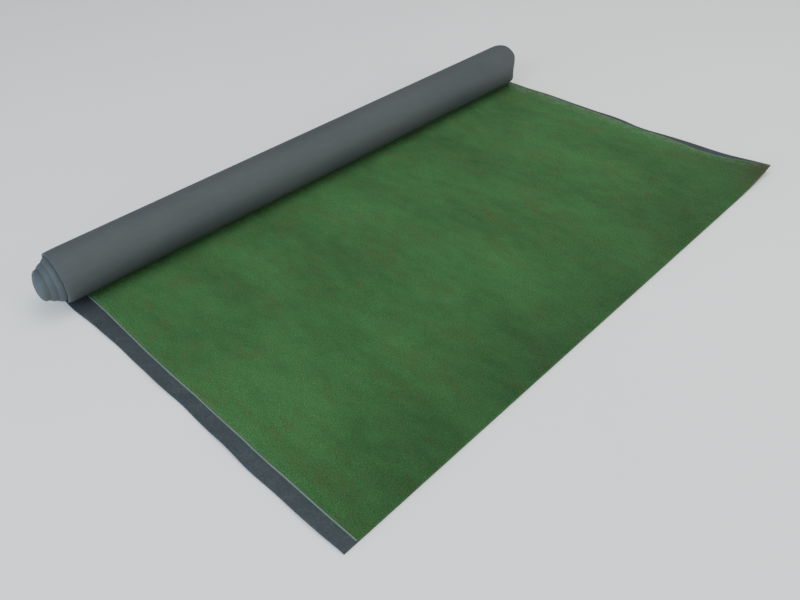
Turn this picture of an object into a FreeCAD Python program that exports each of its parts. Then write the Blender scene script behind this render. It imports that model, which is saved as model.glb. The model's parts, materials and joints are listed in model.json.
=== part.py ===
import FreeCAD, Part

import math
import os

# Practice putting mat with its far end rolled up.
# Own frame, millimetres: X runs across the mat, +Y runs from the near edge to the roll,
# +Z is up. The origin is in the middle of the part that lies flat, on its underside.
# The mat is one bonded sheet of three layers: a foam backing, a woven scrim and a turf
# pile. The rolled length is cut across into wraps, each a rigid arc of all three layers,
# and hinged to the one before it along a line on the backing's outer face.

# Driving dimensions
MAT_WIDTH = 1220.0
MAT_LENGTH = 1830.0
FLAT_LENGTH = 720.0  # near edge to the roll's line of contact, along the centre line
HOLLOW_RADIUS = 22.2  # left open inside the innermost turn
BACKING_THICKNESS = 2.8
SCRIM_THICKNESS = 0.4
PILE_HEIGHT = 2.2
LEFT_MARGIN = 21.0  # backing left bare along the left side
RIGHT_MARGIN = 11.0  # and along the right side, where the pile comes closer to the cut
SELVEDGE_WIDTH = 3.0  # scrim left bare between the margin and the pile
TURN_GAP = 0.7  # air between one turn and the next
HINGE_GAP = 0.5  # between the ends of neighbouring wraps, along the backing
ROLL_SKEW = 1.7  # degrees: the roll's left end lies further from the near edge
WRAP_COUNT = 18

# Worked out from them
THICKNESS = BACKING_THICKNESS + SCRIM_THICKNESS + PILE_HEIGHT
PITCH = THICKNESS + TURN_GAP
CONTACT_Y = FLAT_LENGTH / 2.0
ROLLED_LENGTH = MAT_LENGTH - FLAT_LENGTH
# seen end on, the turns cover as much area as the rolled length with its air gap
INNER_TURN = HOLLOW_RADIUS + THICKNESS
ROLL_RADIUS = math.sqrt(INNER_TURN**2 + ROLLED_LENGTH * PITCH / math.pi) - PITCH / 4.0
SKEW = math.radians(ROLL_SKEW)
PILE_BASE = BACKING_THICKNESS + SCRIM_THICKNESS
# each layer: name, how deep it starts and ends below the backing's outer face, and how far
# its left and right sides lie from the middle of the mat
LAYERS = (
    ("backing", 0.0, BACKING_THICKNESS, (MAT_WIDTH / 2.0, MAT_WIDTH / 2.0)),
    (
        "scrim",
        BACKING_THICKNESS,
        PILE_BASE,
        (MAT_WIDTH / 2.0 - LEFT_MARGIN, MAT_WIDTH / 2.0 - RIGHT_MARGIN),
    ),
    (
        "pile",
        PILE_BASE,
        THICKNESS,
        (
            MAT_WIDTH / 2.0 - LEFT_MARGIN - SELVEDGE_WIDTH,
            MAT_WIDTH / 2.0 - RIGHT_MARGIN - SELVEDGE_WIDTH,
        ),
    ),
)


# The roll's path: half circles that meet tangent to tangent, at the bottom and the top.
# A place on it is its turning angle, 0 where the mat leaves the ground.
def half_circle(number):
    """Radius and centre height of the backing's outer face on one half turn."""
    radius = ROLL_RADIUS - number * PITCH / 2.0
    centre_z = ROLL_RADIUS + (PITCH / 2.0 if number % 2 else 0.0)
    return radius, centre_z


def place(turning, depth, number=None):
    """(y, z) of the place at a turning angle and a depth, y counted from the contact line."""
    if number is None:
        number = int(turning // math.pi)
    radius, centre_z = half_circle(number)
    reach = radius - depth
    return reach * math.sin(turning), centre_z - reach * math.cos(turning)


def half_turns(start, end):
    """The stretch from start to end, split where one half circle gives way to the next."""
    pieces = []
    while start < end - 1e-9:
        number = int((start + 1e-9) // math.pi)
        stop = min(end, (number + 1) * math.pi)
        pieces.append((start, stop, number))
        start = stop
    return pieces


def path_length(start, end):
    """Length of the backing's outer face between two turning angles."""
    return sum((b - a) * half_circle(number)[0] for a, b, number in half_turns(start, end))


def wrap_ends(sagitta):
    """Turning angles of the wraps' ends, if each wrap bows by the same sagitta.

    The first is the end of the half arc that stays with the flat sheet.
    """
    ends = [math.acos(1.0 - sagitta / ROLL_RADIUS)]
    for _ in range(WRAP_COUNT):
        radius = half_circle(int(ends[-1] // math.pi))[0]
        bow = min(sagitta, radius)  # a wrap turns a half turn at most
        ends.append(ends[-1] + 2.0 * math.acos(1.0 - bow / radius))
    return ends


def even_wraps():
    """wrap_ends for the one sagitta that uses up the rolled length."""
    low, high = 0.0, ROLL_RADIUS / 3.0
    for _ in range(60):
        sagitta = (low + high) / 2.0
        if path_length(0.0, wrap_ends(sagitta)[-1]) < ROLLED_LENGTH:
            low = sagitta
        else:
            high = sagitta
    return wrap_ends(low)


def hinge_angles(ends):
    """How far each hinge opens, in radians, to lay every wrap's chord level."""
    slopes = [0.0]
    for start, end in zip(ends, ends[1:]):
        (y0, z0), (y1, z1) = place(start, 0.0), place(end, 0.0)
        slope = math.atan2(z1 - z0, y1 - y0)
        slope += 2.0 * math.pi * round(((start + end) / 2.0 - slope) / (2.0 * math.pi))
        slopes.append(slope)
    return [later - sooner for sooner, later in zip(slopes, slopes[1:])]


# Solids
def arcs(start, end, depth):
    """Edges along the path at one depth, in the YZ plane."""
    edges = []
    for a, b, number in half_turns(start, end):
        points = [FreeCAD.Vector(0, *place(t, depth, number)) for t in (a, (a + b) / 2.0, b)]
        edges.append(Part.Arc(*points).toShape())
    return edges


def rolled_strip(start, end, outer, inner, sides):
    """A layer between two turning angles, in the roll's own frame, before the skew.

    Rolled about the skewed axis, the mat's sides creep to the left as they wind.
    """
    outside = arcs(start, end, outer)
    inside = arcs(start, end, inner)
    caps = [
        Part.makeLine(outside[i].Vertexes[i].Point, inside[i].Vertexes[i].Point) for i in (0, -1)
    ]
    wire = Part.Wire(Part.__sortEdges__(outside + inside + caps))
    creep = path_length(0.0, (start + end) / 2.0) * math.tan(SKEW)
    left, right = (side / math.cos(SKEW) for side in sides)
    face = Part.Face(wire)
    face.translate(FreeCAD.Vector(-left - creep, 0, 0))
    return face.extrude(FreeCAD.Vector(left + right, 0, 0))


def skewed(shape):
    """Turn a shape of the roll's own frame into the mat's frame."""
    shape.rotate(FreeCAD.Vector(0, 0, 0), FreeCAD.Vector(0, 0, 1), -ROLL_SKEW)
    shape.translate(FreeCAD.Vector(0, CONTACT_Y, 0))
    return shape


def flat_strip(outer, inner, sides):
    """A layer of the flat sheet, from the near edge to the skewed contact line."""
    left, right = sides
    corners = (
        (-left, -CONTACT_Y),
        (right, -CONTACT_Y),
        (right, CONTACT_Y - right * math.tan(SKEW)),
        (-left, CONTACT_Y + left * math.tan(SKEW)),
        (-left, -CONTACT_Y),
    )
    outline = Part.makePolygon([FreeCAD.Vector(x, y, outer) for x, y in corners])
    return Part.Face(outline).extrude(FreeCAD.Vector(0, 0, inner - outer))


def sheet(ends, outer, inner, sides):
    """A layer of the part that stays put: the flat sheet and the first half arc."""
    margin = HINGE_GAP / 2.0 / ROLL_RADIUS
    rise = skewed(rolled_strip(0.0, ends[0] - margin, outer, inner, sides))
    return flat_strip(outer, inner, sides).fuse(rise).removeSplitter()


def wrap(ends, number, outer, inner, sides):
    """A layer of one wrap, clear of its neighbours by the hinge gap."""
    start, end = ends[number - 1], ends[number]
    lead = HINGE_GAP / 2.0 / half_circle(int(start // math.pi))[0]
    trail = HINGE_GAP / 2.0 / half_circle(int(end // math.pi))[0]
    if number == WRAP_COUNT:
        trail = 0.0
    return skewed(rolled_strip(start + lead, end - trail, outer, inner, sides))


def write(name, shape):
    """Write one node's STEP file."""
    solids = shape.Solids
    if len(solids) != 1 or not shape.isValid():
        raise ValueError(name + " is not one sound solid")
    solids[0].exportStep(os.path.join("parts", name + ".step"))


def hinge_lines(ends):
    """A point on each hinge line, on the backing's outer face, in the mat's frame."""
    points = []
    for turning in ends[:-1]:
        y, z = place(turning, 0.0)
        points.append((y * math.sin(SKEW), CONTACT_Y + y * math.cos(SKEW), z))
    return points


def main():
    os.makedirs("parts", exist_ok=True)
    ends = even_wraps()
    for name, outer, inner, sides in LAYERS:
        write(name + "_sheet", sheet(ends, outer, inner, sides))
        for number in range(1, WRAP_COUNT + 1):
            write(f"{name}_wrap_{number:02d}", wrap(ends, number, outer, inner, sides))


if __name__ == "__main__":
    main()
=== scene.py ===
import json
import math

import bpy
import numpy as np
from bpy.props import FloatProperty, FloatVectorProperty, IntProperty, PointerProperty
from mathutils import Matrix, Vector


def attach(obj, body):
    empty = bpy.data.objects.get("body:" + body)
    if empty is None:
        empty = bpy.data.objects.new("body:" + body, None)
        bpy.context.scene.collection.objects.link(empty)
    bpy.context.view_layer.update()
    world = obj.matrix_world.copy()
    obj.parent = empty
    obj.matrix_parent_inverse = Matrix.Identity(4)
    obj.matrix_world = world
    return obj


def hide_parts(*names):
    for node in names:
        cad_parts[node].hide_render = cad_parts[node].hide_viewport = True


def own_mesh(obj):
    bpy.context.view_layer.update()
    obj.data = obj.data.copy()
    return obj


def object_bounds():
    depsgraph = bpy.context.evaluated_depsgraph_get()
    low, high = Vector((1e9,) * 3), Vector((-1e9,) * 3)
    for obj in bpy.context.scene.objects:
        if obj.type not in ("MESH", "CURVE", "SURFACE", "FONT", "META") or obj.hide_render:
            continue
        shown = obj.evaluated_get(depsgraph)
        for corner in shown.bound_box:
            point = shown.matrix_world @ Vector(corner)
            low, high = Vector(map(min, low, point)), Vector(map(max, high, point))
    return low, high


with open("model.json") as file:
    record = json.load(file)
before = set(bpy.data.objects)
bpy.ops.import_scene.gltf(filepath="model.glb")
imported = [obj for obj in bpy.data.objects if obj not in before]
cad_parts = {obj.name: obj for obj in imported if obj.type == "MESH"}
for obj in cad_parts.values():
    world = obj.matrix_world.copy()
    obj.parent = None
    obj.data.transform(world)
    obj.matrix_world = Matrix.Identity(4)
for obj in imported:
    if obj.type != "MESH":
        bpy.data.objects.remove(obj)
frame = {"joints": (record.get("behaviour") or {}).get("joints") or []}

# Practice putting mat with its far end rolled up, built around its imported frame.
# Metres, in the frame's own axes: X runs across the mat, +Y runs from the near edge to the
# roll, +Z is up, and the origin is in the middle of the flat part, on its underside.

CAD_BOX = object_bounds()

bl_info = {
    "name": "Practice putting mat",
    "version": (1, 0, 0),
    "blender": (4, 5, 0),
    "location": "3D View > Sidebar > Putting mat",
    "description": "Builds a half rolled putting mat, layer by layer, around its frame",
    "category": "Add Mesh",
}

MILLIMETRE = 0.001
STEP = math.radians(2.0)  # turning angle between two rows of a rolled piece
TAB_INSET = 0.1 * MILLIMETRE  # a hidden tab stays this far inside the neighbouring wrap
PILE_SHORT = 0.0004  # the solid pile stops this far below its full height
NAP_SINK = 0.0002  # a tuft's root is this deep in the solid pile
NAP_CLEARANCE = 0.014  # the tufts stop this far from the roll's line of contact
CORNER_STAIN = (0.066, 0.060, 0.036)  # colour of the soiled near right corner
BLACK = (0.0, 0.0, 0.0)


def length(name, description, default):
    """A size in metres."""
    return FloatProperty(name=name, description=description, default=default, unit="LENGTH")


def colour(name, description, default):
    """A linear colour."""
    return FloatVectorProperty(
        name=name, description=description, default=default, subtype="COLOR", size=3, min=0, max=1
    )


class MatSizes(bpy.types.PropertyGroup):
    """Sizes of the sheet and of its roll."""

    width: length("Width", "Across the mat, from side to side", 1.22)
    sheet_length: length("Sheet length", "Near edge to far edge, laid out flat", 1.83)
    flat_length: length("Flat length", "Near edge to the roll's line of contact", 0.72)
    roll_diameter: length(
        "Roll diameter", "Over the outermost turn", CAD_BOX[1][2] - CAD_BOX[0][2]
    )
    backing_thickness: length("Backing thickness", "Foam sheet", 0.0028)
    scrim_thickness: length("Scrim thickness", "Cloth that holds the pile", 0.0004)
    pile_height: length("Pile height", "Turf above the scrim", 0.0022)
    left_margin: length("Left margin", "Backing left bare along the left side", 0.021)
    right_margin: length("Right margin", "Backing left bare along the right side", 0.011)
    pile_stray_wedge: length(
        "Pile stray, wedge", "How much wider the right margin is at its widest", 0.009
    )
    pile_stray_corner: length(
        "Pile stray, corner", "How much narrower the right margin is at the near corner", 0.004
    )
    pile_stray_roll: length(
        "Pile stray, roll", "How much narrower the right margin is at the roll", 0.004
    )
    pile_stray_left: length("Pile stray, left", "How much wider the left margin is", 0.003)
    pile_stray_left_roll: length(
        "Pile stray, left, roll", "Added to it where the mat meets the roll", 0.007
    )
    selvedge_width: length("Selvedge width", "Scrim that shows beside the pile", 0.003)
    selvedge_rise: length("Selvedge rise", "Height of the scrim's folded edge", 0.0013)
    turn_gap: length("Turn gap", "Air between one turn and the next", 0.0007)
    nap_height: length("Nap height", "How far a tuft stands out of the pile", 0.0013)
    nap_radius: length("Nap radius", "Of a tuft at its root", 0.0011)
    corner_lift: length("Corner lift", "How high the curled near corner stands", 0.015)
    corner_reach: length("Corner reach", "How far from the corner its curl begins", 0.16)
    nose_pull: length("Nose pull", "How far the outermost left edge closes in", 0.0008)
    nose_pull_turn: length("Nose pull per turn", "Added to it by each turn inward", 0.0003)
    tip_pull: length("Tip pull", "Added to it at the last turn", 0.0032)
    nose_reach: length("Nose reach", "How far from the edge it begins to close in", 0.028)
    hug_pull: length("Hug pull", "How far an edge leans onto the next turn", 0.0036)
    hug_reach: length("Hug reach", "How far from the edge it begins to lean", 0.016)
    nose_stand: length("Nose stand-out", "How much further left each turn stands", 0.003)
    lip_round: length("Lip round", "How much the outer corner of a left edge is worn off", 0.0019)
    lip_fold: length("Lip fold", "How far the outermost left edge curls in under itself", 0.0028)
    lip_reach: length("Lip reach", "How far from the edge it is worn or curled", 0.007)
    tip_reach: length("Tip reach", "How far from its edge the last turn closes", 0.007)
    tip_reach_out: length("Tip stand-out", "How far the last turn stands out further", 0.007)
    tip_tilt: length("Tip tilt", "How much further its lower front stands out", 0.007)
    rim_pull: length("Rim pull", "How far the right edge of each turn closes in", 0.003)
    rim_reach: length("Rim reach", "How far from the edge the rim begins to round", 0.024)
    rim_tuck: length("Rim tuck", "How far the right edge is drawn back to the left", 0.012)
    rim_dent: length("Rim dent", "Added to it in the dent at the roll's front", 0.015)
    rim_flush: length("Rim flush", "How far in the right edges of the inner turns line up", 0.039)
    tuck_reach: length("Tuck reach", "How far from the edge it begins to be drawn back", 0.090)
    tip_pinch: FloatProperty(
        name="Tip pinch",
        description="Share by which the last turn's left edge closes",
        default=0.90,
        min=0.0,
        max=0.95,
        subtype="FACTOR",
    )
    skew: FloatProperty(
        name="Roll skew",
        description="Turn of the roll's axis from square with the sides",
        default=math.radians(1.7),
        subtype="ANGLE",
    )
    wraps: IntProperty(
        name="Wraps",
        description="Hinged arcs that the rolled length is cut into",
        default=len(frame["joints"]),
        min=1,
    )
    nap_density: FloatProperty(
        name="Nap density", description="Tufts on a square metre", default=150000.0, min=0.0
    )


class MatColours(bpy.types.PropertyGroup):
    """Colours of the three layers and of the floor."""

    turf_light: colour("Turf, light", "Tips of the pile", (0.053, 0.157, 0.046))
    turf_dark: colour("Turf, dark", "Roots and hollows of the pile", (0.015, 0.052, 0.0125))
    turf_dry: colour("Turf, dry", "Yellowed and soiled patches", (0.080, 0.112, 0.034))
    # the outer skin is painted lighter than the turf side: partly the two faces' own tones,
    # partly painted light that the roll's outside catches
    backing_skin_and_light: colour("Backing skin", "Outer face of the foam", (0.039, 0.048, 0.050))
    backing_rubbed: colour("Backing, rubbed", "Paler rubs on the skin", (0.058, 0.066, 0.065))
    backing_face_and_shade: colour("Backing face", "Turf side of the foam", (0.029, 0.038, 0.042))
    scrim: colour("Scrim", "Cloth edge beside the pile", (0.15, 0.21, 0.145))
    floor: colour("Floor", "Studio floor", (0.90, 0.89, 0.87))


# ---- the sheet and its roll
def smooth(share):
    """0 below 0, 1 above 1, and an even passage between."""
    held = min(1.0, max(0.0, share))
    return held * held * (3.0 - 2.0 * held)


# places round the roll, in turns from the contact line
EASE_TURNS = 0.25  # over which the closing in sets in
RIM_BACK = 0.84  # where the right edge begins to be drawn in less
RIM_BACK_RATE = 9.0
RIM_BACK_RELIEF = 0.4
DENT_TURN = 0.755
DENT_HALF_SPAN = 0.14
INNER_RATE = 1.45  # how fast the right edges pass to their inner line after the first turn
TIP_TILT_TURN = 0.875  # where the tilted tip stands out furthest
LIP_WORN_FROM = 0.55  # where the left edge passes from curled to worn
LIP_WORN_RATE = 2.5


class Roll:
    """The path of the rolled sheet: half circles that meet at the bottom and the top.

    A place on it is its turning angle, 0 where the mat leaves the ground.
    """

    def __init__(self, sizes):
        self.sizes = sizes
        self.half_width = sizes.width / 2.0
        self.radius = sizes.roll_diameter / 2.0
        self.thickness = sizes.backing_thickness + sizes.scrim_thickness + sizes.pile_height
        self.pitch = self.thickness + sizes.turn_gap
        self.contact_y = sizes.flat_length / 2.0
        self.rolled_length = sizes.sheet_length - sizes.flat_length
        self.sine = math.sin(sizes.skew)
        self.cosine = math.cos(sizes.skew)
        self.ends = self.even_wraps()

    def half_circle(self, number):
        """Radius and centre height of the backing's outer face on one half turn."""
        centre_z = self.radius + (self.pitch / 2.0 if number % 2 else 0.0)
        return self.radius - number * self.pitch / 2.0, centre_z

    def place(self, turning, depth, pull=0.0, pinch=1.0):
        """(y, z) at a turning angle and a depth, y counted from the contact line.

        pull draws the place in towards the roll's axis, and pinch scales its reach from it.
        """
        radius, centre_z = self.half_circle(max(0, int(turning // math.pi)))
        reach = (radius - depth - pull) * pinch
        return reach * math.sin(turning), centre_z - reach * math.cos(turning)

    def gather(self, x, turning):
        """How the free sides of the turns close in: pull, shift to the left and pinch.

        The left sides stand out like a telescope and hug one another into a blunt closed
        nose. The right sides are drawn back, with a dent at the roll's front. All of it
        fades out at the contact line.
        """
        sizes = self.sizes
        turn = turning / math.tau
        ease = smooth(turn / EASE_TURNS)
        from_left = x + self.half_width
        from_right = self.half_width - x
        left = max(0.0, 1.0 - from_left / sizes.nose_reach) ** 2
        to_end = (turning - self.ends[-1]) / math.pi
        last = smooth(to_end + 3.0)  # sets in over the half turn before the last whole turn
        hug = max(0.0, 1.0 - from_left / sizes.hug_reach) ** 2 * smooth(turn - 0.5) * (1.0 - last)
        right = max(0.0, 1.0 - from_right / sizes.rim_reach) ** 2
        drawn = max(0.0, 1.0 - from_right / sizes.tuck_reach) ** 2
        front = 1.0 - RIM_BACK_RELIEF * smooth((turn - RIM_BACK) * RIM_BACK_RATE)
        dent = max(0.0, 1.0 - ((turn - DENT_TURN) / DENT_HALF_SPAN) ** 2) ** 2
        inner = smooth((turn - 1.0) * INNER_RATE)
        creep = self.path_length(turning) * self.sine
        flush = max(0.0, sizes.rim_flush - creep)
        pull = left * (sizes.nose_pull + sizes.nose_pull_turn * turn + sizes.tip_pull * last)
        pull += hug * sizes.hug_pull
        pull = (pull + right * sizes.rim_pull * front) * ease
        cap = max(0.0, 1.0 - from_left / sizes.tip_reach)
        shut = (1.0 - math.sqrt(max(0.0, 1.0 - cap * cap))) * last
        pinch = 1.0 - sizes.tip_pinch * shut
        from_tilt = turning - math.tau * TIP_TILT_TURN
        tilt = sizes.tip_tilt * (0.5 + 0.5 * pinch * math.cos(from_tilt))
        short = self.rolled_length * self.sine - creep + sizes.tip_reach_out + tilt
        stand = sizes.nose_stand * max(0.0, turn - 1.0) * (1.0 - last) + short * last
        even = max(0.0, 1.0 - from_left / sizes.tuck_reach) ** 2 * stand
        tucked = (sizes.rim_tuck * front + sizes.rim_dent * dent) * (1.0 - inner)
        shift = drawn * (tucked + flush * inner) * ease + even
        return pull, shift, pinch

    def lip(self, x, turning):
        """Depth added to the outer and the inner face of the backing along its left edge.

        The outermost turn's edge curls in under itself, and the others are worn round.
        """
        from_left = x + self.half_width
        near_edge = max(0.0, 1.0 - from_left / self.sizes.lip_reach) ** 2
        turn = turning / math.tau
        inward = smooth((turn - LIP_WORN_FROM) * LIP_WORN_RATE)
        curled = smooth(turn / EASE_TURNS) * (1.0 - inward)
        return self.sizes.lip_round * near_edge * inward, self.sizes.lip_fold * near_edge * curled

    def path_length(self, turning):
        """Length of the backing's outer face from the contact line."""
        total = 0.0
        start = 0.0
        number = 0
        while start < turning:
            stop = min(turning, (number + 1) * math.pi)
            total += (stop - start) * self.half_circle(number)[0]
            start = stop
            number += 1
        return total if turning > 0.0 else turning * self.radius

    def wrap_ends(self, sagitta):
        """Turning angles of the wraps' ends, if each wrap bows by the same sagitta."""
        ends = [math.acos(1.0 - sagitta / self.radius)]
        for _ in range(self.sizes.wraps):
            radius = self.half_circle(int(ends[-1] // math.pi))[0]
            bow = min(sagitta, radius)
            ends.append(ends[-1] + 2.0 * math.acos(1.0 - bow / radius))
        return ends

    def even_wraps(self):
        """wrap_ends for the one sagitta that uses up the rolled length."""
        low, high = 0.0, self.radius / 3.0
        for _ in range(60):
            sagitta = (low + high) / 2.0
            if self.path_length(self.wrap_ends(sagitta)[-1]) < self.rolled_length:
                low = sagitta
            else:
                high = sagitta
        return self.wrap_ends(low)

    def into_mat(self, across, y, z):
        """A point of the roll's own frame, turned and moved into the mat's frame."""
        return (
            across * self.cosine + y * self.sine,
            -across * self.sine + y * self.cosine + self.contact_y,
            z,
        )


# how the cut sides stray outward: (place along the mat, reach along it, amount)
LEFT_STRAYS = (
    (-0.360, 0.03, -0.0035),
    (-0.165, 0.06, 0.0019),
    (0.017, 0.03, -0.0013),
    (0.087, 0.03, 0.0012),
    (0.360, 0.08, 0.0060),
)
RIGHT_STRAYS = (
    (-0.375, 0.04, -0.0080),
    (-0.25, 0.04, 0.0015),
    (-0.06, 0.05, -0.0060),
    (0.11, 0.06, 0.0008),
)


STRAY_BAND = 0.07  # how far in from a cut side the sheet is shifted with it
FINE_WAVE = 0.0004  # how far the cuts waver finely to each side
FINE_WAVE_RATE = 61.0
PILE_BAND = 0.09  # the pile's and scrim's own stray begins this far in from a cut side
PILE_BAND_RIGHT = 0.07  # and grows over this reach on the right
PILE_BAND_LEFT = 0.06
WEDGE = (-0.22, 0.075)  # place along the mat of the right margin's widest part, and its reach
NEAR_CORNER = (-0.28, 0.08)  # where it begins to narrow towards the corner, and over what reach
TOWARD_ROLL = (-0.02, 0.25)  # the same towards the roll
LEFT_BY_ROLL = 0.14  # reach along the mat of the wider left margin by the roll


def hump(y, place, reach):
    """1 at a place along the mat, falling away on both sides."""
    return np.exp(-(((y - place) / reach) ** 2))


def share_of(distance, reach):
    """Share of a reach that a distance covers, from 0 to 1."""
    return np.clip(distance / reach, 0.0, 1.0)


def swell(y, strays):
    """Sum of the strays at a place along the mat."""
    return sum(amount * hump(y, place, reach) for place, reach, amount in strays)


def side_stray(roll, x, y):
    """Shift to the right of a point of the sheet, from how its cut sides stray."""
    near_side = share_of(np.abs(x) - roll.half_width + STRAY_BAND, STRAY_BAND) ** 2
    fine = FINE_WAVE * np.sin(y * FINE_WAVE_RATE + np.sign(x))
    left = swell(y, LEFT_STRAYS) + fine
    right = swell(y, RIGHT_STRAYS) + fine
    return np.where(x < 0.0, -left, right) * near_side


def pile_stray(roll, x, y):
    """Shift to the right of the pile and scrim, whose sides aren't parallel to the cuts."""
    sizes = roll.sizes
    near_right = share_of(x - roll.half_width + PILE_BAND, PILE_BAND_RIGHT)
    near_left = share_of(-x - roll.half_width + PILE_BAND, PILE_BAND_LEFT)
    wedge = hump(y, *WEDGE)
    toward_corner = share_of(NEAR_CORNER[0] - y, NEAR_CORNER[1])
    toward_roll = share_of(y - TOWARD_ROLL[0], TOWARD_ROLL[1])
    narrower = toward_roll * sizes.pile_stray_roll + toward_corner * sizes.pile_stray_corner
    by_roll = hump(y, roll.contact_y, LEFT_BY_ROLL)
    on_right = (narrower - wedge * sizes.pile_stray_wedge) * near_right
    on_left = (sizes.pile_stray_left + by_roll * sizes.pile_stray_left_roll) * near_left
    return on_right + on_left


RIPPLE = 0.0008  # half the height of the ripple along the cut sides
RIPPLE_RATE = 33.0
RIPPLE_SHIFT = 1.3  # between the two sides
RIPPLE_REACH = 0.02
RIPPLE_SETTLE = 0.12  # how far from the roll it dies out
CURL_STRETCH = 0.95  # the corner's curl reaches a little further along the side


def lift(roll, x, y):
    """Height of the flat sheet's underside above the floor."""
    from_side = roll.half_width - np.abs(x)
    settle = share_of(roll.contact_y - y, RIPPLE_SETTLE)
    wave = 1.0 + np.sin(y * RIPPLE_RATE + np.sign(x) * RIPPLE_SHIFT)
    ripple = RIPPLE * wave * np.exp(-from_side / RIPPLE_REACH)
    away = np.hypot(roll.half_width - x, (y + roll.contact_y) * CURL_STRETCH)
    curl = np.clip(1.0 - away / roll.sizes.corner_reach, 0.0, 1.0) ** 2
    return ripple * settle + roll.sizes.corner_lift * curl


def columns(left, right, edge_steps, count):
    """Places across a layer, from one side to the other, closer together at its edges."""
    middle = np.linspace(-left + edge_steps[-1], right - edge_steps[-1], count)
    first = [-left + step for step in edge_steps[:-1]]
    last = [right - step for step in reversed(edge_steps[:-1])]
    return np.concatenate((first, middle, last))


class Layer:
    """One of the three layers: where it lies in the sheet, and how its edge is shaped."""

    def __init__(self, name, outer, inner, left, right, edge, count, near=0.0):
        self.name = name
        self.near = near
        self.outer = outer
        self.inner = inner
        self.left = left
        self.right = right
        self.edge = edge
        self.across = columns(left, right, [step for step, _ in edge], count)

    def inner_depths(self):
        """Depth of the layer's turf side at each place across it."""
        steps = [step for step, _ in self.edge]
        rises = [rise for _, rise in self.edge]
        from_side = np.minimum(self.across + self.left, self.right - self.across)
        return self.inner + np.interp(from_side, steps, rises)

    def width(self):
        return self.left + self.right


def make_layers(roll):
    """The backing, the scrim and the pile. An edge is (distance from the side, rise)."""
    sizes = roll.sizes
    backing = sizes.backing_thickness
    scrim = backing + sizes.scrim_thickness
    half = roll.half_width
    width = sizes.selvedge_width
    rise = sizes.selvedge_rise - sizes.scrim_thickness
    level_steps = (0.002, 0.004, 0.007, 0.010, 0.014, 0.018, 0.023, 0.029)
    foam_edge = [(0.0, -0.0006), (0.0006, -0.0001), *((step, 0.0) for step in level_steps)]
    fold = [
        (0.0, 0.0),
        (width * 0.1, rise * 0.7),
        (width * 0.35, rise),
        (width * 0.65, rise * 0.9),
        (width * 0.9, rise * 0.3),
        (width, 0.0),
        (width * 2.0, 0.0),
    ]
    shoulder = [
        (0.0, -sizes.pile_height * 0.6),
        (0.0008, -sizes.pile_height * 0.25),
        (0.002, -0.0002),
        (0.004, 0.0),
    ]
    left = half - sizes.left_margin
    right = half - sizes.right_margin
    pile = roll.thickness - PILE_SHORT
    return {
        "backing": Layer("backing", 0.0, backing, half, half, foam_edge, 49),
        "scrim": Layer("scrim", backing, scrim, left, right, fold, 25, near=0.0012),
        "pile": Layer("pile", scrim, pile, left - width, right - width, shoulder, 41),
    }


# ---- meshes
def write_places(mesh, places):
    """Keep each point's place on the sheet as the mesh's UV map."""
    corners = np.empty(len(mesh.loops), dtype=np.int32)
    mesh.loops.foreach_get("vertex_index", corners)
    layer = mesh.uv_layers.new(name="sheet")
    layer.data.foreach_set("uv", places[corners].astype(np.float32).ravel())


def show(name, data):
    """A new object at the origin, in the scene."""
    made = bpy.data.objects.new(name, data)
    bpy.context.scene.collection.objects.link(made)
    return made


def slab(name, outer, inner, spread, material):
    """A closed piece between two grids of points, with its place on the sheet as its UV map.

    Rows run along the mat and columns across it. outer is the backing's side.
    """
    rows, count = outer.shape[:2]
    base = np.arange(rows * count).reshape(rows, count)
    top = base + rows * count
    faces = []
    shading = []

    def add(a, b, c, d, is_smooth):
        quads = np.stack((a, b, c, d), axis=-1).reshape(-1, 4)
        faces.append(quads)
        shading.extend([is_smooth] * len(quads))

    add(top[:-1, :-1], top[:-1, 1:], top[1:, 1:], top[1:, :-1], True)
    add(base[:-1, :-1], base[1:, :-1], base[1:, 1:], base[:-1, 1:], True)
    add(base[0, :-1], base[0, 1:], top[0, 1:], top[0, :-1], False)
    add(base[-1, 1:], base[-1, :-1], top[-1, :-1], top[-1, 1:], False)
    add(base[1:, 0], base[:-1, 0], top[:-1, 0], top[1:, 0], False)
    add(base[:-1, -1], base[1:, -1], top[1:, -1], top[:-1, -1], False)
    mesh = bpy.data.meshes.new(name)
    points = np.concatenate((outer.reshape(-1, 3), inner.reshape(-1, 3)))
    mesh.from_pydata(points.tolist(), [], np.concatenate(faces).tolist())
    mesh.polygons.foreach_set("use_smooth", shading)
    write_places(mesh, np.tile(spread.reshape(-1, 2), (2, 1)))
    side = mesh.attributes.new("turf_side", "FLOAT", "POINT")
    side.data.foreach_set("value", np.repeat((0.0, 1.0), rows * count).astype(np.float32))
    mesh.materials.append(material)
    mesh.update()
    return show(name, mesh)


def flat_grid(roll, across, depths, start, stop, rows, is_foam=False):
    """Points of the flat sheet at given depths, between two shares of its length."""
    x = np.tile(across, (rows, 1))
    share = np.linspace(start, stop, rows)[:, None]
    far_y = roll.contact_y - x * roll.sine / roll.cosine
    y = -roll.contact_y + share * (far_y + roll.contact_y)
    if not is_foam:
        x = x + pile_stray(roll, x, y)
    z = depths + lift(roll, x, y)
    spread = np.stack((x, y), axis=-1)
    return np.stack((x + side_stray(roll, x, y), y, z), axis=-1), spread


def flat_piece(roll, layer, name, rows, material):
    """A layer of the flat sheet, from the near edge to the contact line."""
    is_foam = layer.outer == 0.0
    near = layer.near / roll.sizes.flat_length
    outer, spread = flat_grid(roll, layer.across, layer.outer, near, 1.0, rows, is_foam)
    inner, _ = flat_grid(roll, layer.across, layer.inner_depths(), near, 1.0, rows, is_foam)
    return slab(name, outer, inner, spread, material)


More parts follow.
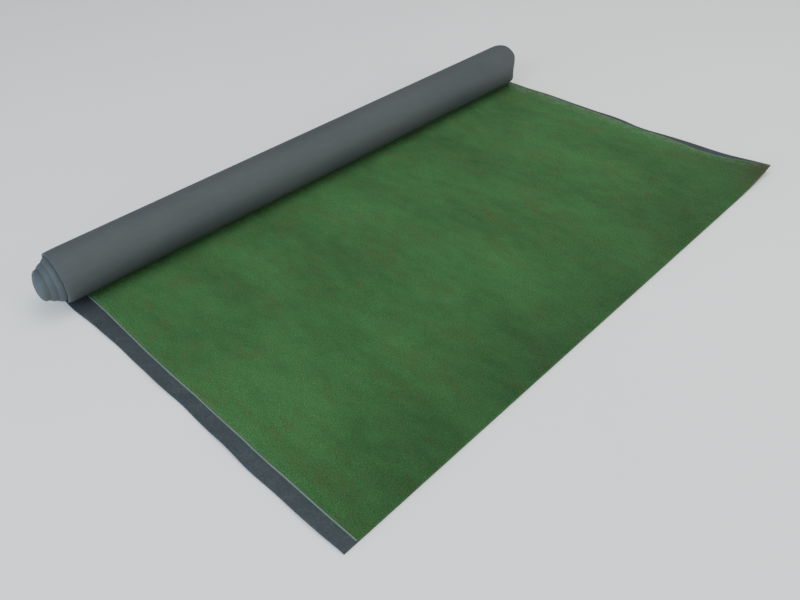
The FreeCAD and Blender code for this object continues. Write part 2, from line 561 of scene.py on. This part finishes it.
def rolled_row(roll, layer, turning, inset, far_cut):
    """Outer points, inner points and sheet places of a layer at one turning angle.

    The far cut is square with the mat's sides, so it runs skewed across the roll.
    """
    outer = []
    inner = []
    spread = []
    narrow = 1.0 - 2.0 * inset / layer.width()
    for x, inner_depth in zip(layer.across * narrow, layer.inner_depths()):
        here = turning
        if far_cut:
            here = turning + x * roll.sine / roll.half_circle(int(turning // math.pi))[0]
        along = roll.path_length(here)
        x_roll = (x - along * roll.sine) / roll.cosine
        y_sheet = roll.contact_y - x_roll * roll.sine + along * roll.cosine
        stray = float(side_stray(roll, np.float64(x), np.float64(y_sheet)))
        if layer.outer > 0.0:
            stray += float(pile_stray(roll, np.float64(x), np.float64(y_sheet)))
        pull, shift, pinch = roll.gather(x, here)
        worn, curled = roll.lip(x, here) if layer.outer == 0.0 else (0.0, 0.0)
        depths = (layer.outer + inset + worn, inner_depth - inset + curled)
        for points, depth in zip((outer, inner), depths):
            y, z = roll.place(here, depth, pull, pinch)
            points.append(roll.into_mat(x_roll + stray - shift, y, z))
        spread.append((x, y_sheet))
    return outer, inner, spread


def rolled_piece(roll, layer, name, start, end, tabs, material):
    """A layer between two turning angles, with hidden tabs that fill the hinge when open."""
    steps = max(2, math.ceil((end - start) / STEP))
    turnings = [start + (end - start) * i / steps for i in range(steps + 1)]
    turnings = [start, start + STEP / 16.0, *turnings[1:-1], end - STEP / 16.0, end]
    lead, trail = tabs
    rows = [(turning, 0.0) for turning in turnings]
    if lead:
        rows = [(start - lead, TAB_INSET), (start, TAB_INSET)] + rows
    if trail:
        rows = rows + [(end, TAB_INSET), (end + trail, TAB_INSET)]
    is_last = end >= roll.ends[-1] - 1e-9
    made = []
    for turning, inset in rows:
        far_cut = is_last and turning > end - STEP / 8.0
        made.append(rolled_row(roll, layer, turning, inset, far_cut))
    outer, inner, spread = (np.array([row[i] for row in made]) for i in range(3))
    return slab(name, outer, inner, spread, material)


def tab_turn(roll, layer, start, end, at):
    """How much further a wrap turns so that its turf side reaches the open hinge."""
    half = (end - start) / 2.0
    radius = roll.half_circle(int(at // math.pi))[0]
    wider = radius / (radius - layer.inner) * math.sin(half)
    return math.asin(min(0.98, wider)) - half


def chord_slope(roll, start, end):
    """Slope of the straight line between a wrap's hinges."""
    (y0, z0), (y1, z1) = roll.place(start, 0.0), roll.place(end, 0.0)
    return math.atan2(z1 - z0, y1 - y0)


def dress(piece, body, nodes=()):
    """Fix a piece to its body and hide the imported parts that it stands in for."""
    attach(piece, body)
    if nodes:
        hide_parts(*nodes)


def build_layer(roll, layer, material, rows):
    """The flat part, the rise behind the contact line and every wrap of one layer."""
    width = layer.width()
    flat = flat_piece(roll, layer, layer.name + "_flat", rows, material)
    dress(flat, "mat", [layer.name + "_sheet"])
    first = roll.ends[0]
    tab = tab_turn(roll, layer, -first, first, first)
    rise = rolled_piece(roll, layer, layer.name + "_rise", 0.0, first, (0.0, tab), material)
    dress(rise, "mat")
    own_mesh(rise)
    roll.path_length(first + tab)
    for number in range(1, roll.sizes.wraps + 1):
        start, end = roll.ends[number - 1], roll.ends[number]
        lead = tab_turn(roll, layer, start, end, start)
        trail = tab_turn(roll, layer, start, end, end)
        if number == roll.sizes.wraps:
            trail = 0.0
        name = f"{layer.name}_wrap_{number:02d}"
        piece = rolled_piece(roll, layer, name + "_soft", start, end, (lead, trail), material)
        dress(piece, f"wrap_{number:02d}", [name])
        slope = chord_slope(roll, start, end)
        outward = roll.into_mat(0.0, math.sin(slope), -math.cos(slope))
        y, z = roll.place((start + end) / 2.0, layer.inner)
        roll.into_mat(0.0, y, z)
        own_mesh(piece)
        made_length = roll.path_length(end + trail) - roll.path_length(start - lead)


# ---- finishes
def group_sockets(group, inputs, outputs):
    """Give a node group its named sockets: an input has a kind and a default or None."""
    new = group.interface.new_socket
    for name, (kind, default) in inputs.items():
        socket = new(name, in_out="INPUT", socket_type="NodeSocket" + kind)
        if default is not None:
            socket.default_value = default
    for name, kind in outputs.items():
        new(name, in_out="OUTPUT", socket_type="NodeSocket" + kind)


def set_inputs(node, values):
    """Give a node's inputs their values by name."""
    for name, value in values.items():
        node.inputs[name].default_value = value


def join(links, *pairs):
    """Link an output to an input for each (node, output, node, input)."""
    for source, outlet, target, inlet in pairs:
        links.new(source.outputs[outlet], target.inputs[inlet])


def mottle_group():
    """Soft patches of two sizes, laid over each other."""
    found = bpy.data.node_groups.get("mottle")
    if found:
        return found
    group = bpy.data.node_groups.new("mottle", "ShaderNodeTree")
    group_sockets(
        group,
        {
            "Vector": ("Vector", None),
            "Broad scale": ("Float", 6.0),
            "Fine scale": ("Float", 60.0),
            "Fine share": ("Float", 0.3),
        },
        {"Mask": "Float"},
    )
    nodes, links = group.nodes, group.links
    given = nodes.new("NodeGroupInput")
    out = nodes.new("NodeGroupOutput")
    broad = nodes.new("ShaderNodeTexNoise")
    set_inputs(broad, {"Detail": 3.0, "Distortion": 0.4})
    fine = nodes.new("ShaderNodeTexNoise")
    set_inputs(fine, {"Detail": 4.0})
    mix = nodes.new("ShaderNodeMix")
    mix.data_type = "FLOAT"
    join(
        links,
        (given, "Vector", broad, "Vector"),
        (given, "Vector", fine, "Vector"),
        (given, "Broad scale", broad, "Scale"),
        (given, "Fine scale", fine, "Scale"),
        (given, "Fine share", mix, "Factor"),
        (broad, "Fac", mix, "A"),
        (fine, "Fac", mix, "B"),
        (mix, "Result", out, "Mask"),
    )
    return group


def new_material(name):
    """A material with its nodes, its links and its shader."""
    material = bpy.data.materials.new(name)
    material.use_nodes = True
    nodes, links = material.node_tree.nodes, material.node_tree.links
    return material, nodes, links, nodes["Principled BSDF"]


def sheet_places(nodes, links, turn=0.0, stretch=(1.0, 1.0, 1.0)):
    """Sheet coordinates in metres, turned and stretched for a pattern."""
    places = nodes.new("ShaderNodeUVMap")
    places.uv_map = "sheet"
    mapping = nodes.new("ShaderNodeMapping")
    set_inputs(mapping, {"Rotation": (0.0, 0.0, turn), "Scale": stretch})
    links.new(places.outputs["UV"], mapping.inputs["Vector"])
    return mapping.outputs["Vector"]


def mottle_node(nodes, links, vector, broad, fine, share):
    """The mottle group with its own scales."""
    node = nodes.new("ShaderNodeGroup")
    node.node_tree = mottle_group()
    links.new(vector, node.inputs["Vector"])
    set_inputs(node, {"Broad scale": broad, "Fine scale": fine, "Fine share": share})
    return node.outputs["Mask"]


def ramp(nodes, links, value, stops):
    """Colour ramp with the given (position, colour) stops."""
    node = nodes.new("ShaderNodeValToRGB")
    elements = node.color_ramp.elements
    while len(elements) < len(stops):
        elements.new(0.5)
    for element, (position, tint) in zip(elements, stops):
        element.position = position
        element.color = (*tint, 1.0)
    links.new(value, node.inputs["Fac"])
    return node.outputs["Color"]


def between(a, b, share):
    """The colour that lies a share of the way from a to b."""
    return tuple(x + (y - x) * share for x, y in zip(a, b))


def bump(nodes, links, height, distance, strength, shader):
    """Roughen the shader's surface by a height."""
    node = nodes.new("ShaderNodeBump")
    set_inputs(node, {"Distance": distance, "Strength": strength})
    links.new(height, node.inputs["Height"])
    links.new(node.outputs["Normal"], shader.inputs["Normal"])


def scaled(nodes, links, value, low, high, to_low, to_high):
    """A value mapped from one span to another, held inside it."""
    node = nodes.new("ShaderNodeMapRange")
    set_inputs(node, {"From Min": low, "From Max": high, "To Min": to_low, "To Max": to_high})
    links.new(value, node.inputs["Value"])
    return node.outputs["Result"]


def combined(nodes, links, operation, first, second):
    """Two values put together by a math operation."""
    node = nodes.new("ShaderNodeMath")
    node.operation = operation
    links.new(first, node.inputs[0])
    links.new(second, node.inputs[1])
    return node.outputs["Value"]


def split_places(nodes, links, vector):
    """The x and y of sheet coordinates."""
    node = nodes.new("ShaderNodeSeparateXYZ")
    links.new(vector, node.inputs["Vector"])
    return node.outputs["X"], node.outputs["Y"]


def mixed(nodes, links, share, first, second):
    """A colour between two; each is a socket or a plain colour."""
    node = nodes.new("ShaderNodeMix")
    node.data_type = "RGBA"
    links.new(share, node.inputs["Factor"])
    for name, value in (("A", first), ("B", second)):
        socket = [s for s in node.inputs if s.name == name and s.type == "RGBA"][0]
        if isinstance(value, bpy.types.NodeSocket):
            links.new(value, socket)
        else:
            socket.default_value = (*value, 1.0)
    return [s for s in node.outputs if s.type == "RGBA"][0]


def corner_stain(nodes, links, corner, share):
    """The share given at a corner, fading away from it, further along the near edge."""
    along, up = 0.6, 1.5
    full, none = 0.02, 0.09
    vector = sheet_places(nodes, links, 0.0, (along, up, 1.0))
    node = nodes.new("ShaderNodeVectorMath")
    node.operation = "DISTANCE"
    node.inputs[1].default_value = (corner[0] * along, corner[1] * up, 0.0)
    links.new(vector, node.inputs[0])
    return scaled(nodes, links, node.outputs["Value"], full, none, share, 0.0)


FRAY_FROM = 0.045  # the pile's right side begins to fray this far from the cut
FRAY_FULL = 0.016  # and frays most this far from it
NEAR_SHADE = 0.72  # brightness of the pile at the near edge
NEAR_SHADE_REACH = 0.22  # how far from the edge it comes back to 1


def turf_material(colours, near_right):
    """Short green pile: drifting patches of lean, dry spots, and a fine grain of yarn tips whose
    low points are painted darker as shade deep in the pile; painted shade also darkens it towards
    the near edge.
    """
    material, nodes, links, shader = new_material("turf")
    light, dark = tuple(colours.turf_light), tuple(colours.turf_dark)
    dry = tuple(colours.turf_dry)
    drift = sheet_places(nodes, links, math.radians(35.0), (1.0, 0.45, 1.0))
    along = sheet_places(nodes, links, 0.0, (1.0, 0.35, 1.0))
    plain = sheet_places(nodes, links)
    patches = mottle_node(nodes, links, drift, 7.0, 48.0, 0.35)
    low, middle = between(dark, light, 0.40), between(dark, light, 0.74)
    tint = ramp(nodes, links, patches, [(0.32, low), (0.50, middle), (0.68, light)])
    spots = mottle_node(nodes, links, along, 16.0, 70.0, 0.5)
    dry_share = scaled(nodes, links, spots, 0.50, 0.72, 0.0, 0.75)
    tint = mixed(nodes, links, dry_share, tint, between(dry, dark, 0.25))
    fray = mottle_node(nodes, links, drift, 90.0, 240.0, 0.5)
    right, near = near_right
    across, up = split_places(nodes, links, plain)
    beside = scaled(nodes, links, across, right - FRAY_FROM, right - FRAY_FULL, 0.0, 1.0)
    loose = scaled(nodes, links, fray, 0.42, 0.62, 0.0, 0.75)
    frayed = combined(nodes, links, "MULTIPLY", beside, loose)
    tint = mixed(nodes, links, frayed, tint, tuple(colours.scrim))
    stained = corner_stain(nodes, links, near_right, 0.80)
    tint = mixed(nodes, links, stained, tint, between(dry, CORNER_STAIN, 0.6))
    tips = nodes.new("ShaderNodeTexNoise")
    set_inputs(tips, {"Scale": 520.0, "Detail": 3.0})
    links.new(plain, tips.inputs["Vector"])
    # painted shade: the grain's low points, deep in the pile, are darkened down to half
    root_shade = scaled(nodes, links, tips.outputs["Fac"], 0.34, 0.60, 0.5, 1.0)
    shaded = scaled(nodes, links, up, near, near + NEAR_SHADE_REACH, NEAR_SHADE, 1.0)
    shade = nodes.new("ShaderNodeAttribute")
    shade.attribute_name = "shade"
    tuft = nodes.new("ShaderNodeMath")
    tuft.operation = "MULTIPLY_ADD"
    tuft.inputs[1].default_value = 0.5
    links.new(shade.outputs["Fac"], tuft.inputs[0])
    links.new(root_shade, tuft.inputs[2])
    level = combined(nodes, links, "MULTIPLY", tuft.outputs["Value"], shaded)
    lit = nodes.new("ShaderNodeVectorMath")
    lit.operation = "SCALE"
    links.new(tint, lit.inputs["Vector"])
    links.new(level, lit.inputs["Scale"])
    links.new(lit.outputs["Vector"], shader.inputs["Base Color"])
    set_inputs(shader, {"Roughness": 0.92, "Specular IOR Level": 0.15})
    set_inputs(shader, {"Sheen Weight": 0.04, "Sheen Roughness": 0.6})
    bump(nodes, links, tips.outputs["Fac"], 0.0012, 0.7, shader)
    return material


CUT_SHADE_FADE = 0.06  # the painted shade on the cut sides begins to pale this far before the contact line


def backing_material(colours, near_right):
    """Grey foam: a skin outside with paler rubs, a darker turf side, darker cut sides and fine
    closed cells.

    The skin is lighter than the turf side partly by the faces' own tones and partly as
    painted light that the roll's outside catches. The cut sides are darker partly by the
    cut foam's own tone and partly as painted shade.
    """
    material, nodes, links, shader = new_material("backing_foam")
    skin, rubbed_tint = tuple(colours.backing_skin_and_light), tuple(colours.backing_rubbed)
    face = tuple(colours.backing_face_and_shade)
    rubbed = sheet_places(nodes, links, 0.0, (0.35, 1.0, 1.0))
    plain = sheet_places(nodes, links)
    rubs = mottle_node(nodes, links, rubbed, 11.0, 130.0, 0.35)
    outside = ramp(nodes, links, rubs, [(0.32, skin), (0.68, rubbed_tint)])
    blots = mottle_node(nodes, links, plain, 32.0, 210.0, 0.55)
    pale_face = between(face, rubbed_tint, 0.55)
    deep_face = between(face, BLACK, 0.25)
    inside = ramp(nodes, links, blots, [(0.36, deep_face), (0.52, face), (0.70, pale_face)])
    stain = corner_stain(nodes, links, near_right, 0.9)
    inside = mixed(nodes, links, stain, inside, CORNER_STAIN)
    # turf side against skin: partly the faces' own tones, partly painted shade on the margins and
    # painted light on the roll
    which = nodes.new("ShaderNodeAttribute")
    which.attribute_name = "turf_side"
    tint = mixed(nodes, links, which.outputs["Fac"], outside, inside)
    # the cut sides are painted darker: partly the cut foam's own tone, partly painted shade on
    # the sheet's edges; on the roll only a quarter as much
    cut = nodes.new("ShaderNodeMath")
    cut.operation = "PINGPONG"
    cut.inputs[1].default_value = 0.5
    links.new(which.outputs["Fac"], cut.inputs[0])
    _, up = split_places(nodes, links, plain)
    contact_y = -near_right[1]
    flat_only = scaled(nodes, links, up, contact_y - CUT_SHADE_FADE, contact_y, 1.0, 0.25)
    on_cut = scaled(nodes, links, cut.outputs["Value"], 0.0, 0.25, 0.0, 0.6)
    cut_shade_share = combined(nodes, links, "MULTIPLY", on_cut, flat_only)
    tint = mixed(nodes, links, cut_shade_share, tint, between(face, BLACK, 0.6))
    links.new(tint, shader.inputs["Base Color"])
    cells = nodes.new("ShaderNodeTexVoronoi")
    cells.inputs["Scale"].default_value = 700.0
    links.new(plain, cells.inputs["Vector"])
    links.new(scaled(nodes, links, rubs, 0.0, 1.0, 0.58, 0.82), shader.inputs["Roughness"])
    shader.inputs["Specular IOR Level"].default_value = 0.4
    bump(nodes, links, cells.outputs["Distance"], 0.0004, 0.35, shader)
    return material


def scrim_material(colours, near_right):
    """Pale woven cloth: two crossing sets of threads, half hidden by tufts on the right."""
    material, nodes, links, shader = new_material("scrim_cloth")
    plain = sheet_places(nodes, links)
    pale = tuple(colours.scrim)
    threads = []
    for direction in ("X", "Y"):
        wave = nodes.new("ShaderNodeTexWave")
        wave.bands_direction = direction
        set_inputs(wave, {"Scale": 320.0, "Distortion": 1.5, "Detail": 1.0})
        links.new(plain, wave.inputs["Vector"])
        threads.append(wave.outputs["Fac"])
    weave = combined(nodes, links, "MAXIMUM", *threads)
    soiled = mottle_node(nodes, links, plain, 25.0, 300.0, 0.5)
    blend = combined(nodes, links, "MULTIPLY", weave, soiled)
    tint = ramp(nodes, links, blend, [(0.1, between(pale, BLACK, 0.45)), (0.6, pale)])
    across, _ = split_places(nodes, links, plain)
    right_side = scaled(nodes, links, across, -0.1, 0.1, 0.0, 0.6)
    tufts_over = mottle_node(nodes, links, plain, 60.0, 200.0, 0.5)
    patchy = scaled(nodes, links, tufts_over, 0.40, 0.56, 0.0, 1.0)
    covered = combined(nodes, links, "MULTIPLY", patchy, right_side)
    tint = mixed(nodes, links, covered, tint, tuple(colours.turf_light))
    tint = mixed(nodes, links, corner_stain(nodes, links, near_right, 0.9), tint, CORNER_STAIN)
    links.new(tint, shader.inputs["Base Color"])
    set_inputs(shader, {"Roughness": 0.9, "Specular IOR Level": 0.2})
    bump(nodes, links, weave, 0.0003, 0.6, shader)
    return material


def floor_material(colours):
    """Plain pale studio floor with a barely visible unevenness."""
    material, nodes, links, shader = new_material("studio_floor")
    place = nodes.new("ShaderNodeTexCoord")
    cloud = mottle_node(nodes, links, place.outputs["Object"], 1.5, 12.0, 0.3)
    pale = tuple(colours.floor)
    tint = ramp(nodes, links, cloud, [(0.3, between(pale, BLACK, 0.03)), (0.7, pale)])
    links.new(tint, shader.inputs["Base Color"])
    set_inputs(shader, {"Roughness": 0.85, "Specular IOR Level": 0.25})
    return material


# ---- the nap
TUFT_LEAN_LEAST = (-0.75, -0.35, 0.0)  # radians, the last one about the surface's normal
TUFT_LEAN_MOST = (0.15, 0.35, math.tau)
TUFT_SIZES = (0.65, 1.2)
NAP_STRIPS = 3  # the nap is made in this many pieces, each from its own seed


def tuft_tree():
    """Geometry nodes that set a small leaning tuft at each of many points of a surface."""
    tree = bpy.data.node_groups.new("tufts", "GeometryNodeTree")
    group_sockets(
        tree,
        {
            "Geometry": ("Geometry", None),
            "Density": ("Float", None),
            "Root radius": ("Float", None),
            "Height": ("Float", None),
            "Seed": ("Int", None),
            "Material": ("Material", None),
        },
        {"Geometry": "Geometry"},
    )
    nodes, links = tree.nodes, tree.links
    given = nodes.new("NodeGroupInput")
    out = nodes.new("NodeGroupOutput")
    scatter = nodes.new("GeometryNodeDistributePointsOnFaces")
    tuft = nodes.new("GeometryNodeMeshCone")
    set_inputs(tuft, {"Vertices": 3, "Radius Top": 0.0})
    lean = nodes.new("FunctionNodeRandomValue")
    lean.data_type = "FLOAT_VECTOR"
    set_inputs(lean, {"Min": TUFT_LEAN_LEAST, "Max": TUFT_LEAN_MOST})
    turn = nodes.new("FunctionNodeRotateRotation")
    turn.rotation_space = "LOCAL"
    to_rotation = nodes.new("FunctionNodeEulerToRotation")
    size = nodes.new("FunctionNodeRandomValue")
    size.inputs[2].default_value, size.inputs[3].default_value = TUFT_SIZES
    shade = nodes.new("FunctionNodeRandomValue")
    shade.inputs[2].default_value = 0.0
    shade.inputs[3].default_value = 1.0
    place = nodes.new("GeometryNodeInstanceOnPoints")
    store = nodes.new("GeometryNodeStoreNamedAttribute")
    store.domain = "INSTANCE"
    store.inputs["Name"].default_value = "shade"
    realize = nodes.new("GeometryNodeRealizeInstances")
    finish = nodes.new("GeometryNodeSetMaterial")
    join(
        links,
        (given, "Geometry", scatter, "Mesh"),
        (given, "Density", scatter, "Density"),
        *((given, "Seed", node, "Seed") for node in (scatter, lean, size, shade)),
        (given, "Root radius", tuft, "Radius Bottom"),
        (given, "Height", tuft, "Depth"),
        (scatter, "Points", place, "Points"),
        (tuft, "Mesh", place, "Instance"),
        (scatter, "Rotation", turn, "Rotation"),
        (lean, "Value", to_rotation, "Euler"),
        (to_rotation, "Rotation", turn, "Rotate By"),
        (turn, "Rotation", place, "Rotation"),
        (size, 1, place, "Scale"),
        (place, "Instances", store, "Geometry"),
        (shade, 1, store, "Value"),
        (store, "Geometry", realize, "Geometry"),
        (realize, "Geometry", finish, "Geometry"),
        (given, "Material", finish, "Material"),
        (finish, "Geometry", out, "Geometry"),
    )
    return tree


def grow_nap(name, surface, tree, values):
    """Run the tuft tree on a surface and keep its result as a plain mesh."""
    modifier = surface.modifiers.new("tufts", "NODES")
    modifier.node_group = tree
    for item in tree.interface.items_tree:
        if item.in_out == "INPUT" and item.name in values:
            modifier[item.identifier] = values[item.name]
    graph = bpy.context.evaluated_depsgraph_get()
    mesh = bpy.data.meshes.new_from_object(surface.evaluated_get(graph))
    mesh.name = name
    nap = show(name, mesh)
    bare = surface.data
    bpy.data.objects.remove(surface)
    bpy.data.meshes.remove(bare)
    return nap


def nap_surface(roll, layer, start, stop):
    """The top of the flat pile between two shares of its length, as an open grid."""
    inside = layer.across[1:-1]
    depths = layer.inner_depths()[1:-1] - NAP_SINK
    points, spread = flat_grid(roll, inside, depths, start, stop, 20)
    rows, count = points.shape[:2]
    index = np.arange(rows * count).reshape(rows, count)
    quads = np.stack((index[:-1, :-1], index[:-1, 1:], index[1:, 1:], index[1:, :-1]), axis=-1)
    mesh = bpy.data.meshes.new("nap_surface")
    mesh.from_pydata(points.reshape(-1, 3).tolist(), [], quads.reshape(-1, 4).tolist())
    write_places(mesh, spread.reshape(-1, 2))
    return show("nap_surface", mesh)


# ---- operators
def settings(context):
    """The sizes and the colours that the panel shows."""
    return context.scene.putting_mat_sizes, context.scene.putting_mat_colours


def make_layer(context, name, make_material, rows):
    """Build a layer in its own material, and hand back what its nap needs."""
    sizes, colours = settings(context)
    roll = Roll(sizes)
    layer = make_layers(roll)[name]
    material = make_material(colours, (roll.half_width, -roll.contact_y))
    build_layer(roll, layer, material, rows)
    return roll, layer, material


class MakeBacking(bpy.types.Operator):
    """Make the foam backing: the flat part, the rise and every wrap"""

    bl_idname = "putting_mat.make_backing"
    bl_label = "Foam backing"

    def execute(self, context):
        make_layer(context, "backing", backing_material, 97)
        return {"FINISHED"}


class MakeScrim(bpy.types.Operator):
    """Make the scrim: the cloth under the pile, with its folded edge"""

    bl_idname = "putting_mat.make_scrim"
    bl_label = "Scrim"

    def execute(self, context):
        make_layer(context, "scrim", scrim_material, 73)
        return {"FINISHED"}


class MakeTurf(bpy.types.Operator):
    """Make the turf pile on the scrim, and the nap that stands on its flat part"""

    bl_idname = "putting_mat.make_turf"
    bl_label = "Turf pile and nap"

    def execute(self, context):
        roll, layer, material = make_layer(context, "pile", turf_material, 97)
        sizes = roll.sizes
        tree = tuft_tree()
        clear_of_roll = 1.0 - NAP_CLEARANCE / sizes.flat_length
        for number in range(NAP_STRIPS):
            start = number / NAP_STRIPS * clear_of_roll
            stop = (number + 1) / NAP_STRIPS * clear_of_roll
            surface = nap_surface(roll, layer, start, stop)
            values = {
                "Density": sizes.nap_density,
                "Root radius": sizes.nap_radius,
                "Height": sizes.nap_height,
                "Seed": number + 1,
                "Material": material,
            }
            nap = grow_nap(f"turf_nap_{number + 1}", surface, tree, values)
            dress(nap, "mat")
        return {"FINISHED"}


FLOOR_REACH = 12.0
FLOOR_Z = -0.0004  # just below the mat, so that the two don't share a plane
# name, place, side of the square, power in watts, colour
LIGHTS = (
    ("window_light", (-3.6, -0.5, 2.0), 2.2, 101.0, (0.80, 0.90, 1.0)),
    ("top_light", (0.7, -0.2, 3.2), 2.6, 60.0, (1.0, 0.98, 0.95)),
    ("fill_light", (1.3, -3.0, 1.1), 2.4, 53.0, (1.0, 0.96, 0.92)),
    ("low_light", (0.2, -2.6, 0.35), 1.2, 14.0, (0.88, 1.0, 0.94)),
    ("side_light", (-2.8, 0.5, 0.3), 0.7, 38.0, (0.34, 0.60, 1.0)),
)
SKY_COLOUR = (0.80, 0.86, 0.92, 1.0)
SKY_STRENGTH = 0.62
CAMERA_PLACE = (-0.8841, -0.7836, 0.8441)
CAMERA_TURN = (43.29, 40.62, 3.29)  # degrees: yaw from +Y, pitch down, roll
CAMERA_LENS = 33.2  # millimetres, on a sensor 36 wide


class MakeStage(bpy.types.Operator):
    """Make the pale floor, the soft lights and the camera"""

    bl_idname = "putting_mat.make_stage"
    bl_label = "Stage, lights and camera"

    def execute(self, context):
        _, colours = settings(context)
        scene = context.scene
        floor_mesh = bpy.data.meshes.new("studio_floor")
        turns = ((-1, -1), (1, -1), (1, 1), (-1, 1))
        corners = [(x * FLOOR_REACH, y * FLOOR_REACH, FLOOR_Z) for x, y in turns]
        floor_mesh.from_pydata(corners, [], [(0, 1, 2, 3)])
        floor_mesh.materials.append(floor_material(colours))
        show("studio_floor", floor_mesh)
        for light in LIGHTS:
            add_light(*light)
        world = bpy.data.worlds.new("studio")
        world.use_nodes = True
        background = world.node_tree.nodes["Background"]
        set_inputs(background, {"Color": SKY_COLOUR, "Strength": SKY_STRENGTH})
        scene.world = world
        add_camera(scene)
        return {"FINISHED"}


def add_light(name, position, size, power, tint):
    """A square soft light that faces the middle of the mat."""
    data = bpy.data.lights.new(name, "AREA")
    data.size = size
    data.energy = power
    data.color = tint
    light = show(name, data)
    light.location = position
    light.rotation_euler = (-Vector(position)).to_track_quat("-Z", "Y").to_euler()


def add_camera(scene):
    """A camera that looks over the near left corner, down the length of the roll."""
    yaw, pitch, roll = (math.radians(turn) for turn in CAMERA_TURN)
    forward = Vector(
        (math.sin(yaw) * math.cos(pitch), math.cos(yaw) * math.cos(pitch), -math.sin(pitch))
    )
    level = Vector((math.cos(yaw), -math.sin(yaw), 0.0))
    down = forward.cross(level)
    right = level * math.cos(roll) + down * math.sin(roll)
    up = level * math.sin(roll) - down * math.cos(roll)
    data = bpy.data.cameras.new("camera")
    data.lens = CAMERA_LENS
    data.sensor_width = 36.0
    data.clip_start = 0.01
    camera = show("camera", data)
    axes = Matrix((right, up, -forward)).transposed()
    camera.matrix_world = Matrix.Translation(CAMERA_PLACE) @ axes.to_4x4()
    scene.camera = camera


OPERATORS = (MakeBacking, MakeScrim, MakeTurf, MakeStage)


class MatPanel(bpy.types.Panel):
    """Sizes, colours and the steps that build the mat"""

    bl_idname = "VIEW3D_PT_putting_mat"
    bl_label = "Putting mat"
    bl_space_type = "VIEW_3D"
    bl_region_type = "UI"
    bl_category = "Putting mat"

    def draw(self, context):
        layout = self.layout
        for group in settings(context):
            box = layout.box()
            for name in group.bl_rna.properties.keys():
                if name not in ("rna_type", "name"):
                    box.prop(group, name)
        for operator in OPERATORS:
            layout.operator(operator.bl_idname)


CLASSES = (MatSizes, MatColours, *OPERATORS, MatPanel)


def register():
    for cls in CLASSES:
        bpy.utils.register_class(cls)
    bpy.types.Scene.putting_mat_sizes = PointerProperty(type=MatSizes)
    bpy.types.Scene.putting_mat_colours = PointerProperty(type=MatColours)


def unregister():
    del bpy.types.Scene.putting_mat_colours
    del bpy.types.Scene.putting_mat_sizes
    for cls in reversed(CLASSES):
        bpy.utils.unregister_class(cls)


def main():
    register()
    bpy.ops.putting_mat.make_backing()
    bpy.ops.putting_mat.make_scrim()
    bpy.ops.putting_mat.make_turf()
    bpy.ops.putting_mat.make_stage()


if __name__ == "__main__":
    main()
